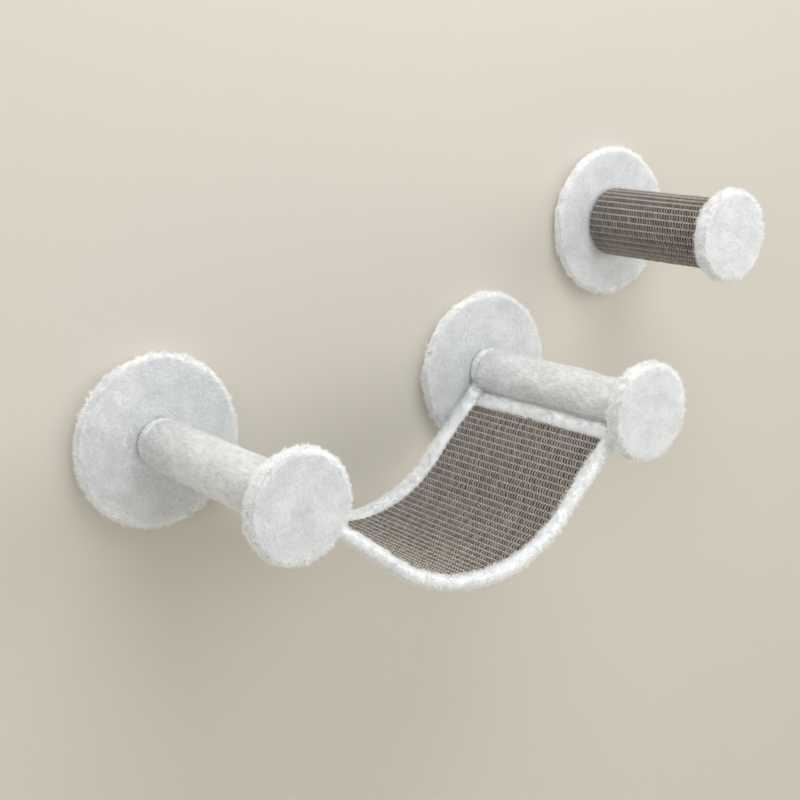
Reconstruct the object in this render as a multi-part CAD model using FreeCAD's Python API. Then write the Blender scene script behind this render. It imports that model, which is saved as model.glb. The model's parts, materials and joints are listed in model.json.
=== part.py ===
import FreeCAD, Part
import os
from math import atan2, cos, degrees, radians, sin, sqrt

# A wall mounted cat tree: a sagging hammock between two posts, and a step post beside it.
# The wall's plane is Y = 0 and the tree stands out towards -Y. X runs along the wall, Z is up.
# The origin is the middle of the left wall board's back. Sizes are in mm, angles in degrees.
# "Depth" is the distance out of the wall, so it is -Y.

# Where the supports stand, measured from the left post's axis
post_spacing = 500.0
step_across = 742.0
step_height = 177.0
post_depth = 302.0
step_depth = 220.0

# Boards and their plush covers
wall_board_radius = 101.0
wall_board_thickness = 12.0
end_board_radius = 57.0
end_board_thickness = 13.0
plush_thickness = 3.0
plush_bevel = 3.6

# Holes for the wall screws
screw_count = 3
screw_circle_radius = 75.0
screw_hole_radius = 2.75

# Tubes, with the wooden plugs glued into their ends
post_tube_radius = 25.0
post_tube_wall = 3.0
step_tube_radius = 41.5
step_tube_wall = 4.0
plug_thickness = 18.0
plug_clearance = 0.15

# Countersunk furniture bolts, threaded into the plugs
bolt_radius = 4.0
bolt_length = 31.0
bolt_head_radius = 8.0
bolt_head_height = 4.4
socket_width = 5.0
socket_depth = 2.5
bolt_hole_clearance = 0.25
countersink_clearance = 0.1
head_recess = 0.4
thread_clearance = 0.05

# Sleeves and the woven wrap round the tubes
slip = 0.3
sleeve_thickness = 4.7
wrap_thickness = 5.7
wrap_rib_count = 32
wrap_seam_gap = 1.2
rib_depth = 1.2

# The hammock: its woven surface hangs in four tangent arcs between the posts
roll_end_gap = 3.5
sag = 151.0
lowest_point_shift = 16.0
seam_angle = 34.0
steepest_share = 1.45
seam_slope_share = 1.15
mat_thickness = 6.0
mat_rib_pitch = 9.2
backing_thickness = 4.0
roll_width = 27.0
roll_height = 18.0
roll_rise = 1.5
roll_facets = 4
roll_inner_bevel = 2.5
side_roll_width = 20.0

# Sizes that follow from the ones above
wall_front_depth = wall_board_thickness + plush_thickness
sleeve_radius = post_tube_radius + slip + sleeve_thickness
wrap_radius = step_tube_radius + slip + wrap_thickness
bolt_hole_radius = bolt_radius + bolt_hole_clearance
hammock_rear_depth = wall_front_depth + roll_end_gap
hammock_front_depth = post_depth - roll_end_gap

origin = FreeCAD.Vector(0, 0, 0)
outward = FreeCAD.Vector(0, -1, 0)
full_turn = 360.0
quarter_turn = 90.0
hexagon_sides = 6


def at(x, depth, z):
    return FreeCAD.Vector(x, -depth, z)


def rod(radius, start, end):
    """A plain cylinder on the support's axis, between two depths."""
    return Part.makeCylinder(radius, end - start, at(0, start, 0), outward)


def ring(outer, inner, start, end):
    return rod(outer, start, end).cut(rod(inner, start, end))


def line(start, end):
    return Part.LineSegment(start, end).toShape()


def arc(start, middle, end):
    return Part.Arc(start, middle, end).toShape()


def soft_disc(radius, start, end):
    """A disc with a bevelled front rim, turned on the support's axis."""
    outline = [at(0, start, 0), at(radius, start, 0), at(radius, end - plush_bevel, 0),
               at(radius - plush_bevel, end, 0), at(0, end, 0), at(0, start, 0)]
    return Part.Face(Part.makePolygon(outline)).revolve(origin, outward, full_turn)


def round_the_axis(shape, count):
    """Evenly spaced copies of a shape round the support's axis."""
    copies = []
    for index in range(count):
        copy = shape.copy()
        copy.rotate(origin, outward, full_turn * index / count)
        copies.append(copy)
    return copies


def cut_all(shape, tools):
    for tool in tools:
        shape = shape.cut(tool)
    return shape


def furniture_bolt(face_depth, way):
    """A countersunk bolt with a hexagon socket. Way is 1 if its point is away from the wall."""
    direction = outward * way
    top = at(0, face_depth + way * head_recess, 0)
    head = Part.makeCone(bolt_head_radius, bolt_radius, bolt_head_height, top, direction)
    shank = Part.makeCylinder(bolt_radius, bolt_length, top, direction)
    corner_radius = socket_width / sqrt(3)
    corners = []
    for index in range(hexagon_sides + 1):
        turn = radians(full_turn * index / hexagon_sides)
        corners.append(top + at(corner_radius * cos(turn), 0, corner_radius * sin(turn)))
    socket = Part.Face(Part.makePolygon(corners)).extrude(direction * socket_depth)
    return head.fuse(shank).removeSplitter().cut(socket)


def countersunk(board, face_depth, way):
    """The board with the hole and the countersink for its bolt, sunk from the given face."""
    head_end = bolt_radius + countersink_clearance
    rise_per_mm = (bolt_head_radius - bolt_radius) / bolt_head_height
    depth = head_recess + bolt_head_height
    mouth = head_end + rise_per_mm * depth
    sink = Part.makeCone(mouth, head_end, depth, at(0, face_depth, 0), outward * way)
    hole = rod(bolt_hole_radius, 0, post_depth + 2 * end_board_thickness)
    return board.cut(sink).cut(hole)


def wall_disc():
    """The board against the wall, drilled for its screws, and the plush over its front and rim."""
    screw_hole = rod(screw_hole_radius, 0, wall_board_thickness)
    screw_hole.translate(at(0, 0, screw_circle_radius))
    blank = rod(wall_board_radius, 0, wall_board_thickness)
    board = cut_all(countersunk(blank, 0, 1), round_the_axis(screw_hole, screw_count))
    cover = soft_disc(wall_board_radius + plush_thickness, 0, wall_front_depth)
    cover = cover.cut(blank).cut(rod(bolt_hole_radius, 0, wall_front_depth))
    return {"wall_boards": board, "wall_covers": cover}


def post_core(name, tube_radius, tube_wall, depth):
    """The tube between the two discs, with a plug in each end and the bolts that go into them."""
    start = wall_front_depth
    end = depth + plush_thickness
    bore = tube_radius - tube_wall
    plug_radius = bore - plug_clearance
    thread_radius = bolt_radius + thread_clearance
    plugs = [ring(plug_radius, thread_radius, start, start + plug_thickness),
             ring(plug_radius, thread_radius, end - plug_thickness, end)]
    bolts = [furniture_bolt(0, 1), furniture_bolt(end + end_board_thickness, -1)]
    return {
        "post_tube_" + name: ring(tube_radius, bore, start, end),
        "tube_plugs": Part.makeCompound(plugs),
        "post_bolts_" + name: Part.makeCompound(bolts),
    }


def end_disc(tube_radius, depth):
    """The end board, drilled and countersunk for its bolt, in its plush bag."""
    board_back = depth + plush_thickness
    board_front = board_back + end_board_thickness
    blank = rod(end_board_radius, board_back, board_front)
    bag = soft_disc(end_board_radius + plush_thickness, depth, board_front + plush_thickness)
    cover = bag.cut(blank).cut(rod(tube_radius + slip, depth, board_back))
    return {"end_boards": countersunk(blank, board_front, -1), "end_covers": cover}


def sleeve():
    """The plush sleeve of a hammock post."""
    return ring(sleeve_radius, post_tube_radius + slip, wall_front_depth, post_depth)


def sisal_wrap():
    """The woven carpet round the step's tube: ribs along the post and a butt seam underneath."""
    start = wall_front_depth
    length = step_depth - start
    corners = []
    for index in range(2 * wrap_rib_count + 1):
        turn = radians(full_turn * index / (2 * wrap_rib_count))
        radius = wrap_radius - rib_depth * (index % 2)
        corners.append(at(radius * cos(turn), start, radius * sin(turn)))
    wrap = Part.Face(Part.makePolygon(corners)).extrude(outward * length)
    wrap = wrap.cut(rod(step_tube_radius + slip, start, step_depth))
    seam = Part.makeBox(wrap_seam_gap, length, wrap_radius)
    seam.translate(at(-wrap_seam_gap / 2, step_depth, -wrap_radius))
    return wrap.cut(seam)


def sag_arcs(side):
    """One side's two tangent arcs of the hanging surface, listed from the post to the middle.

    Each is (centre x, centre z, radius, angle at the post's end, angle at the middle's end, and
    how the radius changes with each mm of drop below the surface).
    """
    low_x = post_spacing / 2 + lowest_point_shift
    post_x = 0 if side < 0 else post_spacing
    seam_x = post_x - side * sleeve_radius * cos(radians(seam_angle))
    seam_z = -sleeve_radius * sin(radians(seam_angle))
    span = abs(seam_x - low_x)
    rise = seam_z + sag
    chord = degrees(atan2(rise, span))
    steep = steepest_share * chord
    seam_slope = seam_slope_share * chord
    across_low = sin(radians(steep))
    up_low = 1 - cos(radians(steep))
    across_high = sin(radians(steep)) - sin(radians(seam_slope))
    up_high = cos(radians(seam_slope)) - cos(radians(steep))
    scale = across_low * up_high - across_high * up_low
    hollow_radius = (span * up_high - rise * across_high) / scale
    crown_radius = (across_low * rise - up_low * span) / scale
    hollow_z = hollow_radius - sag
    crown_x = low_x + side * (hollow_radius + crown_radius) * sin(radians(steep))
    crown_z = hollow_z - (hollow_radius + crown_radius) * cos(radians(steep))
    crown = (crown_x, crown_z, crown_radius,
             quarter_turn + side * seam_slope, quarter_turn + side * steep, -1)
    hollow = (low_x, hollow_z, hollow_radius,
              -quarter_turn + side * steep, -quarter_turn, 1)
    return [crown, hollow]


def reversed_arcs(arcs):
    turned_round = []
    for centre_x, centre_z, radius, start, end, growth in reversed(arcs):
        turned_round.append((centre_x, centre_z, radius, end, start, growth))
    return turned_round


def arc_length(piece):
    return piece[2] * radians(abs(piece[4] - piece[3]))


def stretch(arcs, start, end):
    """The part of a run of arcs between two lengths along it, which may lie past its ends."""
    kept = []
    before = 0.0
    for index, piece in enumerate(arcs):
        centre_x, centre_z, radius, first, last, growth = piece
        length = arc_length(piece)
        low = start if index == 0 else max(start, before)
        high = end if index == len(arcs) - 1 else min(end, before + length)
        if high > low:
            turn = (last - first) / length
            kept.append((centre_x, centre_z, radius,
                         first + turn * (low - before), first + turn * (high - before), growth))
        before += length
    return kept


def along(piece, share, drop, depth):
    """A point part of the way along an arc, a drop below the hanging surface."""
    centre_x, centre_z, radius, start, end, growth = piece
    angle = radians(start + (end - start) * share)
    reach = radius + growth * drop
    return at(centre_x + reach * cos(angle), depth, centre_z + reach * sin(angle))


def hanging_line(arcs, drop, depth):
    edges = []
    for piece in arcs:
        edges.append(arc(along(piece, 0, drop, depth),
                         along(piece, 1 / 2, drop, depth),
                         along(piece, 1, drop, depth)))
    return edges


def ribbed_line(arcs, pitch, depth):
    """The woven surface's outline: a ridge with two flanks for each rib, all of one width."""
    length = sum(arc_length(piece) for piece in arcs)
    count = round(length / pitch)
    half_width = length / count / 2
    edges = []
    for index in range(2 * count):
        piece = stretch(arcs, half_width * index, half_width * (index + 1))
        first_drop = rib_depth * (1 - index % 2)
        last_drop = rib_depth * (index % 2)
        edges.append(line(along(piece[0], 0, first_drop, depth),
                          along(piece[-1], 1, last_drop, depth)))
    return edges


def hanging_slab(top, bottom, rear, front):
    """A layer of the hammock from its top and bottom outlines, drawn at the rear depth."""
    first_top = top[0].Vertexes[0].Point
    last_top = top[-1].Vertexes[-1].Point
    first_bottom = bottom[0].Vertexes[0].Point
    last_bottom = bottom[-1].Vertexes[-1].Point
    edges = top + [line(last_top, last_bottom)] + bottom + [line(first_bottom, first_top)]
    face = Part.Face(Part.Wire(Part.__sortEdges__(edges)))
    return face.extrude(outward * (front - rear))


def post_space(x):
    """What a sleeve fills on its post, which the hammock's rolls are sewn round."""
    space = rod(sleeve_radius, 0, post_depth)
    space.translate(at(x, 0, 0))
    return space


def roll_outline():
    """The roll's section, as distances across (away from the mat) and up from its middle."""
    half_width = roll_width / 2
    half_height = roll_height / 2
    outline = [(-half_width, half_height - roll_inner_bevel),
               (-half_width, roll_inner_bevel - half_height),
               (roll_inner_bevel - half_width, -half_height)]
    for index in range(roll_facets + 1):
        turn = radians(2 * quarter_turn * index / roll_facets - quarter_turn)
        outline.append((half_width - half_height + half_height * cos(turn), half_height * sin(turn)))
    outline.append((roll_inner_bevel - half_width, half_height))
    outline.append(outline[0])
    return outline


def edge_roll(arcs, middle_depth, side):
    """The front (side 1) or rear (side -1) roll: its section swept along the hanging surface."""
    middle_drop = roll_height / 2 - roll_rise
    pieces = []
    for piece in arcs:
        corners = []
        for across, up in roll_outline():
            corners.append(along(piece, 0, middle_drop - up, middle_depth + side * across))
        section = Part.Face(Part.makePolygon(corners))
        centre = FreeCAD.Vector(piece[0], 0, piece[1])
        pieces.append(section.revolve(centre, outward, piece[4] - piece[3]))
    roll = pieces[0].multiFuse(pieces[1:])
    return roll.cut(post_space(0)).cut(post_space(post_spacing))


def side_roll(arcs, rear, front):
    """The roll between a post's sleeve and the end of the mat."""
    top = hanging_line(arcs, -roll_rise, rear)
    bottom = hanging_line(arcs, roll_height - roll_rise, rear)
    slab = hanging_slab(top, bottom, rear, front)
    return slab.cut(post_space(0)).cut(post_space(post_spacing))


def hammock():
    arcs = sag_arcs(-1) + reversed_arcs(sag_arcs(1))
    length = sum(arc_length(piece) for piece in arcs)
    rear = hammock_rear_depth + roll_width
    front = hammock_front_depth - roll_width
    lead = sleeve_radius / 2
    whole = stretch(arcs, -lead, length + lead)
    middle = stretch(arcs, side_roll_width, length - side_roll_width)
    mat_top = ribbed_line(middle, mat_rib_pitch, rear)
    mat_bottom = hanging_line(middle, mat_thickness, rear)
    backing_bottom = hanging_line(middle, mat_thickness + backing_thickness, rear)
    left_end = stretch(arcs, -lead, side_roll_width)
    right_end = stretch(arcs, length - side_roll_width, length + lead)
    print("hammock: %.0f mm from seam to seam along its surface" % length)
    return {
        "sisal_mat": hanging_slab(mat_top, mat_bottom, rear, front),
        "mat_backing": hanging_slab(mat_bottom, backing_bottom, rear, front),
        "front_roll": edge_roll(whole, hammock_front_depth - roll_width / 2, 1),
        "rear_roll": edge_roll(whole, hammock_rear_depth + roll_width / 2, -1),
        "left_roll": side_roll(left_end, rear, front),
        "right_roll": side_roll(right_end, rear, front),
    }


def support(name, tube_radius, tube_wall, depth, x, z):
    """One whole support, moved to its place on the wall."""
    pieces = wall_disc()
    pieces.update(post_core(name, tube_radius, tube_wall, depth))
    pieces.update(end_disc(tube_radius, depth))
    if name == "step":
        pieces["sisal_wrap"] = sisal_wrap()
    else:
        pieces["sleeve_" + name] = sleeve()
    for piece in pieces.values():
        piece.translate(at(x, 0, z))
    return pieces


def main():
    supports = [
        support("left", post_tube_radius, post_tube_wall, post_depth, 0, 0),
        support("right", post_tube_radius, post_tube_wall, post_depth, post_spacing, 0),
        support("step", step_tube_radius, step_tube_wall, step_depth, step_across, step_height),
    ]
    tree = {}
    for pieces in supports + [hammock()]:
        for name, shape in pieces.items():
            tree.setdefault(name, []).extend(shape.Solids)
    os.makedirs("parts", exist_ok=True)
    for name, solids in tree.items():
        shape = Part.makeCompound(solids)
        shape.exportStep("parts/" + name + ".step")
        print(name, "valid" if shape.isValid() else "NOT VALID", len(solids), "solids",
              round(shape.Volume), "mm3")


main()
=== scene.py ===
import json
from math import atan2, ceil, cos, hypot, pi, radians, sin

import bpy
import bmesh
from mathutils import Matrix, Vector, noise


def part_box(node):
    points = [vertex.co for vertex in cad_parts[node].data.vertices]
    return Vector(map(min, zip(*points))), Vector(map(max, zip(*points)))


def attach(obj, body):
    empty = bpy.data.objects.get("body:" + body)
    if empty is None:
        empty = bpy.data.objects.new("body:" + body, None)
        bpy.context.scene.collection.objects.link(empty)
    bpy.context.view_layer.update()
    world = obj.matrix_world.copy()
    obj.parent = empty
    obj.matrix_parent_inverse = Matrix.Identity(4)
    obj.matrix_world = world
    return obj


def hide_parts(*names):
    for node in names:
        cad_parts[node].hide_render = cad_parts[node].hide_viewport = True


# A wall mounted cat tree. Metres; the wall is Y = 0, the tree stands out towards -Y, Z is up.
# "Depth" is the distance out of the wall, so it is -Y.

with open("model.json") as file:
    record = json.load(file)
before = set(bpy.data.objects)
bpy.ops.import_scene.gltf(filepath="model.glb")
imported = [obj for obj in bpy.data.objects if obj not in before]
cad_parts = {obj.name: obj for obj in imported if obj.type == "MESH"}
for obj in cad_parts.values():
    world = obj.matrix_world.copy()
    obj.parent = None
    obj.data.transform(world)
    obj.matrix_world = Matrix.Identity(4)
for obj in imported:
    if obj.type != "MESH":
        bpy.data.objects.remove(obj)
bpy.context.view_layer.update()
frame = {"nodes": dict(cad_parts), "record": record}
scene = bpy.context.scene
scene.view_settings.view_transform = "Standard"
mm = 0.001
samePlace = 0.01 * mm  # points nearer to each other than this are merged
mounts = {mount["name"]: Vector(mount["pos_m"]) for mount in frame["record"]["mounts"]}


# Node trees, for materials and for geometry

class Wire:  # a node's output that takes part in arithmetic
    def __init__(self, graph, socket):
        self.graph = graph
        self.socket = socket

    def math(self, operation, first, second):
        return self.graph.node("ShaderNodeMath", {"operation": operation}, {0: first, 1: second})

    def __add__(self, other):
        return self.math("ADD", self, other)

    def __sub__(self, other):
        return self.math("SUBTRACT", self, other)

    def __rsub__(self, other):
        return self.math("SUBTRACT", other, self)

    def __mul__(self, other):
        return self.math("MULTIPLY", self, other)

    __radd__ = __add__
    __rmul__ = __mul__


class Graph:
    def __init__(self, tree):
        self.tree = tree

    def add(self, kind, settings=None, sockets=None):
        made = self.tree.nodes.new(kind)
        for key, value in (settings or {}).items():
            if key == "stops":
                self.setStops(made.color_ramp, value)
            else:
                setattr(made, key, value)
        for key, value in (sockets or {}).items():
            self.plug(self.inputOf(made, key), value)
        return made

    def node(self, kind, settings=None, sockets=None, output=0):
        return Wire(self, self.add(kind, settings, sockets).outputs[output])

    def inputOf(self, node, key):
        if isinstance(key, int):
            return node.inputs[key]
        return [socket for socket in node.inputs if socket.name == key and socket.enabled][0]

    def plug(self, socket, value):
        if isinstance(value, Wire):
            self.tree.links.new(value.socket, socket)
        else:
            socket.default_value = value

    def setStops(self, ramp, stops):
        for element, (place, level) in zip(ramp.elements, stops):
            element.position = place
            element.color = (level, level, level, 1)

    def vector(self, operation, first, second):
        return self.node("ShaderNodeVectorMath", {"operation": operation}, {0: first, 1: second})

    def scaled(self, vector, factor):
        return self.node("ShaderNodeVectorMath", {"operation": "SCALE"},
                         {"Vector": vector, "Scale": factor})

    def xyz(self, **parts):
        return self.node("ShaderNodeCombineXYZ", {}, parts)

    def random(self, low, high, seed):  # a value for each point, or a vector where low is one
        if isinstance(low, tuple):
            return self.node("FunctionNodeRandomValue", {"data_type": "FLOAT_VECTOR"},
                             {0: low, 1: high, "Seed": seed})
        return self.node("FunctionNodeRandomValue", {"data_type": "FLOAT"},
                         {2: low, 3: high, "Seed": seed}, 1)

    def named(self, label, kind="FLOAT"):  # what a mesh keeps at each point under this name
        return self.node("GeometryNodeInputNamedAttribute", {"data_type": kind}, {"Name": label})


class Finish(Graph):  # a material and its Principled shader
    def __init__(self, name, **constants):
        self.material = bpy.data.materials.new(name)
        self.material.use_nodes = True
        super().__init__(self.material.node_tree)
        self.shader = self.tree.nodes["Principled BSDF"]
        for label, value in constants.items():
            self.shader.inputs[label.replace("_", " ")].default_value = value
        self.place = self.node("ShaderNodeTexCoord", {}, {}, "Object")

    def noise(self, scale, detail=2.0, roughness=0.5, place=None):
        return self.node("ShaderNodeTexNoise", {}, {
            "Vector": place or self.place, "Scale": scale, "Detail": detail, "Roughness": roughness})

    def stretched(self, scale):
        return self.node("ShaderNodeMapping", {}, {"Vector": self.place, "Scale": scale})

    def ramp(self, value, low, high):  # 0 up to low, 1 from high on
        return self.node("ShaderNodeValToRGB", {"stops": ((low, 0), (high, 1))}, {"Fac": value})

    def mix(self, share, first, second):
        return self.node("ShaderNodeMix", {"data_type": "RGBA"},
                         {0: share, 6: first, 7: second}, 2)

    def attribute(self, name):
        return self.node("ShaderNodeAttribute", {"attribute_name": name}, {}, "Fac")

    def bump(self, height, strength, distance):
        return self.node("ShaderNodeBump", {}, {
            "Height": height, "Strength": strength, "Distance": distance})

    def set(self, **links):
        for label, value in links.items():
            self.plug(self.shader.inputs[label.replace("_", " ")], value)
        return self.material


def colour(red, green, blue):  # a colour as a picture shows it, 0 to 255, made linear
    linear = []
    for value in (red, green, blue):
        share = value / 255
        linear.append(share / 12.92 if share < 0.04045 else ((share + 0.055) / 1.055) ** 2.4)
    return (*linear, 1)


# Finishes. Pattern scales are per metre.

plushLook = {"bright": colour(252, 254, 255), "patch": 45.0, "patchRange": (0.33, 0.67),
             "fine": 260.0, "fineRange": (0.38, 0.62), "fibre": 900.0, "fibreShare": 0.5,
             "tuftShare": 0.15, "paintedRimLightShare": 0.35, "depth": 4 * mm, "bumpHeight": 1 * mm,
             "plush pile": {"dull": colour(222, 224, 226), "stretch": (1.0, 1.0, 1.0),
                            "relief": 0.15, "clouds": 0.4, "streaks": 0.2},
             "sleeve pile": {"dull": colour(202, 204, 204), "stretch": (1.0, 0.4, 1.0),
                             "relief": 1.0, "clouds": 0.3, "streaks": 0.36}}


def plushFinish(name):
    own = plushLook[name]
    finish = Finish(name, Roughness=0.9, Specular_IOR_Level=0.2, Subsurface_Weight=1.0,
                    Subsurface_Radius=(1, 1, 1), Subsurface_Scale=plushLook["depth"])
    place = finish.stretched(own["stretch"])
    patches = finish.ramp(finish.noise(plushLook["patch"], 3, 0.5, place), *plushLook["patchRange"])
    fine = finish.noise(plushLook["fine"], 2, 0.5, place)
    streaky = finish.ramp(fine, *plushLook["fineRange"])
    share = patches * own["clouds"] + streaky * own["streaks"]
    share = share + finish.attribute("tone") * plushLook["tuftShare"]
    # Painted light: where the pile is rough the plush is painted lighter, so rims and rolls come out
    # lighter than the smooth disc faces, standing in for the light that falls on the rims
    share = share + finish.attribute("rough") * plushLook["paintedRimLightShare"]
    base = finish.mix(share, own["dull"], plushLook["bright"])
    fibres = finish.noise(plushLook["fibre"], 2, 0.6, place)
    height = fine * (1 - plushLook["fibreShare"]) + fibres * plushLook["fibreShare"]
    relief = finish.bump(height, own["relief"], plushLook["bumpHeight"])
    return finish.set(Base_Color=base, Normal=relief)


sisalLook = {"sisal weft": {"dark": colour(100, 93, 87), "pale": colour(172, 165, 156)},
             # Partly painted light: the beads are the real crossings of the warp, but their colour
             # paler than the weft is a painted highlight on the crests of the weave
             "sisal warp": {"dark": colour(172, 165, 156), "pale": colour(228, 222, 213)},
             "fibre": (700.0, 2600.0, 2600.0), "strandShare": 0.45, "fibreShare": 0.75,
             "darker": 0.1, "relief": 0.6, "bumpHeight": 0.3 * mm}


def sisalFinish(name):
    own = sisalLook[name]
    finish = Finish(name, Roughness=0.85, Specular_IOR_Level=0.25)
    fibre = finish.noise(1.0, 3, 0.6, finish.stretched(sisalLook["fibre"]))
    share = finish.attribute("tone") * sisalLook["strandShare"]
    share = share + fibre * sisalLook["fibreShare"] - sisalLook["darker"]
    base = finish.mix(share, own["dark"], own["pale"])
    relief = finish.bump(fibre, sisalLook["relief"], sisalLook["bumpHeight"])
    return finish.set(Base_Color=base, Normal=relief)


rawLook = {
    # Painted shade: the ground under the strands is coloured near black, for the shade in the gaps
    # between the strands
    "sisal ground": {"shader": {"Roughness": 0.95},
                     "dark": colour(38, 34, 31), "pale": colour(66, 61, 56),
                     "grain": (900.0, 900.0, 900.0), "detail": 3, "coarse": 0.5,
                     "relief": 0.5, "bumpHeight": 0.4 * mm},
    "backing cloth": {"shader": {"Roughness": 0.95, "Sheen_Weight": 0.15},
                      "dark": colour(206, 205, 200), "pale": colour(238, 237, 233),
                      "grain": (900.0, 2200.0, 900.0), "detail": 2, "coarse": 0.5,
                      "clouds": 30.0, "cloudShare": 0.4, "relief": 0.4, "bumpHeight": 0.5 * mm},
    "fibreboard": {"shader": {},
                   "dark": colour(150, 118, 84), "pale": colour(206, 176, 136),
                   "grain": (380.0, 380.0, 380.0), "detail": 5, "coarse": 0.7,
                   "clouds": 28.0, "cloudShare": 0.4, "roughness": (0.62, 0.2),
                   "relief": 0.35, "bumpHeight": 0.4 * mm},
    "plug wood": {"shader": {"Roughness": 0.65},
                  "dark": colour(170, 134, 92), "pale": colour(222, 192, 148),
                  "grain": (160.0, 12.0, 160.0), "detail": 4, "coarse": 0.6,
                  "relief": 0.3, "bumpHeight": 0.3 * mm},
    "tube cardboard": {"shader": {"Roughness": 0.8},
                       "dark": colour(146, 116, 82), "pale": colour(184, 154, 116),
                       "grain": (240.0, 240.0, 240.0), "detail": 4, "coarse": 0.5,
                       "relief": 0.3, "bumpHeight": 0.3 * mm},
    "zinc plated steel": {"shader": {"Metallic": 1.0},
                          "dark": colour(168, 170, 172), "pale": colour(206, 207, 205),
                          "grain": (220.0, 220.0, 220.0), "detail": 3, "coarse": 0.5,
                          "roughness": (0.28, 0.2), "pits": 900.0,
                          "relief": 0.15, "bumpHeight": 0.1 * mm},
}


def rawFinish(name):
    # Two tones that a grain mixes. Wider clouds, uneven gloss and pits come where the look has them.
    look = rawLook[name]
    finish = Finish(name, **look["shader"])
    grain = finish.noise(1.0, look["detail"], look["coarse"], finish.stretched(look["grain"]))
    share = grain
    if "clouds" in look:
        clouds = finish.noise(look["clouds"], 3)
        share = grain * (1 - look["cloudShare"]) + clouds * look["cloudShare"]
    height = finish.noise(look["pits"], 2) if "pits" in look else grain
    if "roughness" in look:
        least, more = look["roughness"]
        finish.set(Roughness=grain * more + least)
    base = finish.mix(share, look["dark"], look["pale"])
    relief = finish.bump(height, look["relief"], look["bumpHeight"])
    return finish.set(Base_Color=base, Normal=relief)


finishes = {
    "plush": plushFinish("plush pile"),
    "sleeve plush": plushFinish("sleeve pile"),
    "weft": sisalFinish("sisal weft"),
    "warp": sisalFinish("sisal warp"),
    "ground": rawFinish("sisal ground"),
    "cloth": rawFinish("backing cloth"),
    "board": rawFinish("fibreboard"),
    "wood": rawFinish("plug wood"),
    "card": rawFinish("tube cardboard"),
    "steel": rawFinish("zinc plated steel"),
}
print("finishes made")


# Meshes

def addPiece(name, points, faces, finish):
    mesh = bpy.data.meshes.new(name)
    mesh.from_pydata([tuple(point) for point in points], [], faces)
    mesh.materials.append(finishes[finish])
    piece = bpy.data.objects.new(name, mesh)
    scene.collection.objects.link(piece)
    return piece


def closeAndFace(piece, smooth=True):  # doubles merged, faces pointing outwards
    work = bmesh.new()
    work.from_mesh(piece.data)
    bmesh.ops.remove_doubles(work, verts=work.verts, dist=samePlace)
    bmesh.ops.recalc_face_normals(work, faces=work.faces)
    if work.calc_volume(signed=True) < 0:
        bmesh.ops.reverse_faces(work, faces=work.faces)
    work.to_mesh(piece.data)
    work.free()
    if smooth:
        piece.data.shade_smooth()
    else:
        piece.data.shade_flat()
    return piece


def turned(name, outline, steps, centre, finish, shape):
    # An outline of (radius, depth) turned round a support's axis. Shape moves each point.
    points = []
    rings = []
    for radius, depth in outline:
        ring = []
        for index in range(steps if radius > 0 else 1):
            angle = 2 * pi * index / steps
            point = Vector((radius * cos(angle), -depth, radius * sin(angle)))
            ring.append(len(points))
            points.append(centre + shape(point, radius, depth, angle))
        rings.append(ring)
    faces = []
    for first, second in zip(rings, rings[1:]):
        for index in range(steps):
            after = (index + 1) % steps
            corners = [first[index % len(first)], first[after % len(first)],
                       second[after % len(second)], second[index % len(second)]]
            faces.append(list(dict.fromkeys(corners)))
    return closeAndFace(addPiece(name, points, faces, finish))


def swept(name, rows, finish):
    # Rows of points, each a closed ring, joined along their length and capped at both ends
    points = [point for row in rows for point in row]
    width = len(rows[0])
    faces = []
    for low in range(0, len(points) - width, width):
        for side in range(width):
            after = (side + 1) % width
            faces.append((low + side, low + after, low + width + after, low + width + side))
    faces.append(tuple(range(width)))
    faces.append(tuple(range(len(points) - width, len(points))))
    return closeAndFace(addPiece(name, points, faces, finish))


def lumps(point, size, height):  # soft unevenness, as a length
    return height * noise.noise(point / size)


def fromAxis(point, axis):
    return hypot(point.x - axis.x, point.z - axis.z)


def outOf(point):  # the direction straight out of the Y axis
    return Vector((point.x, 0, point.z)).normalized()


def faceOutline(depth, radius, rings):  # (radius, depth) pairs from a disc's middle to its rim
    return [(0, depth)] + [(radius * index / rings, depth) for index in range(1, rings)]


def arcPoints(centre, radius, start, end, count):  # (radius, depth) pairs round a rim's corner
    found = []
    for index in range(count + 1):
        angle = radians(start + (end - start) * index / count)
        found.append((centre[0] + radius * cos(angle), centre[1] + radius * sin(angle)))
    return found


# Geometry Nodes, for the pile and for the weave

def newTree(name, sizes):
    # An empty tree with named inputs: the geometry, its sizes, a seed and a finish
    tree = bpy.data.node_groups.new(name, "GeometryNodeTree")
    inputs = [("Geometry", "Geometry")] + [(size, "Float") for size in sizes]
    inputs += [("Seed", "Int"), ("Finish", "Material")]
    for label, kind in inputs:
        tree.interface.new_socket(label, in_out="INPUT", socket_type="NodeSocket" + kind)
    tree.interface.new_socket("Geometry", in_out="OUTPUT", socket_type="NodeSocketGeometry")
    graph = Graph(tree)
    entry = graph.add("NodeGroupInput")
    return graph, {socket.name: Wire(graph, socket) for socket in entry.outputs}


def endTree(graph, laid, tone, finish, smooth):
    # Every copy keeps its own tone, and the copies become one plain mesh
    done = graph.node("GeometryNodeStoreNamedAttribute",
                      {"data_type": "FLOAT", "domain": "INSTANCE"},
                      {"Geometry": laid, "Name": "tone", "Value": tone})
    done = graph.node("GeometryNodeRealizeInstances", {}, {"Geometry": done})
    if smooth:
        done = graph.node("GeometryNodeSetShadeSmooth", {}, {"Geometry": done})
    done = graph.node("GeometryNodeSetMaterial", {}, {"Geometry": done, "Material": finish})
    graph.add("NodeGroupOutput", {}, {0: done})
    return graph.tree


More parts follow.
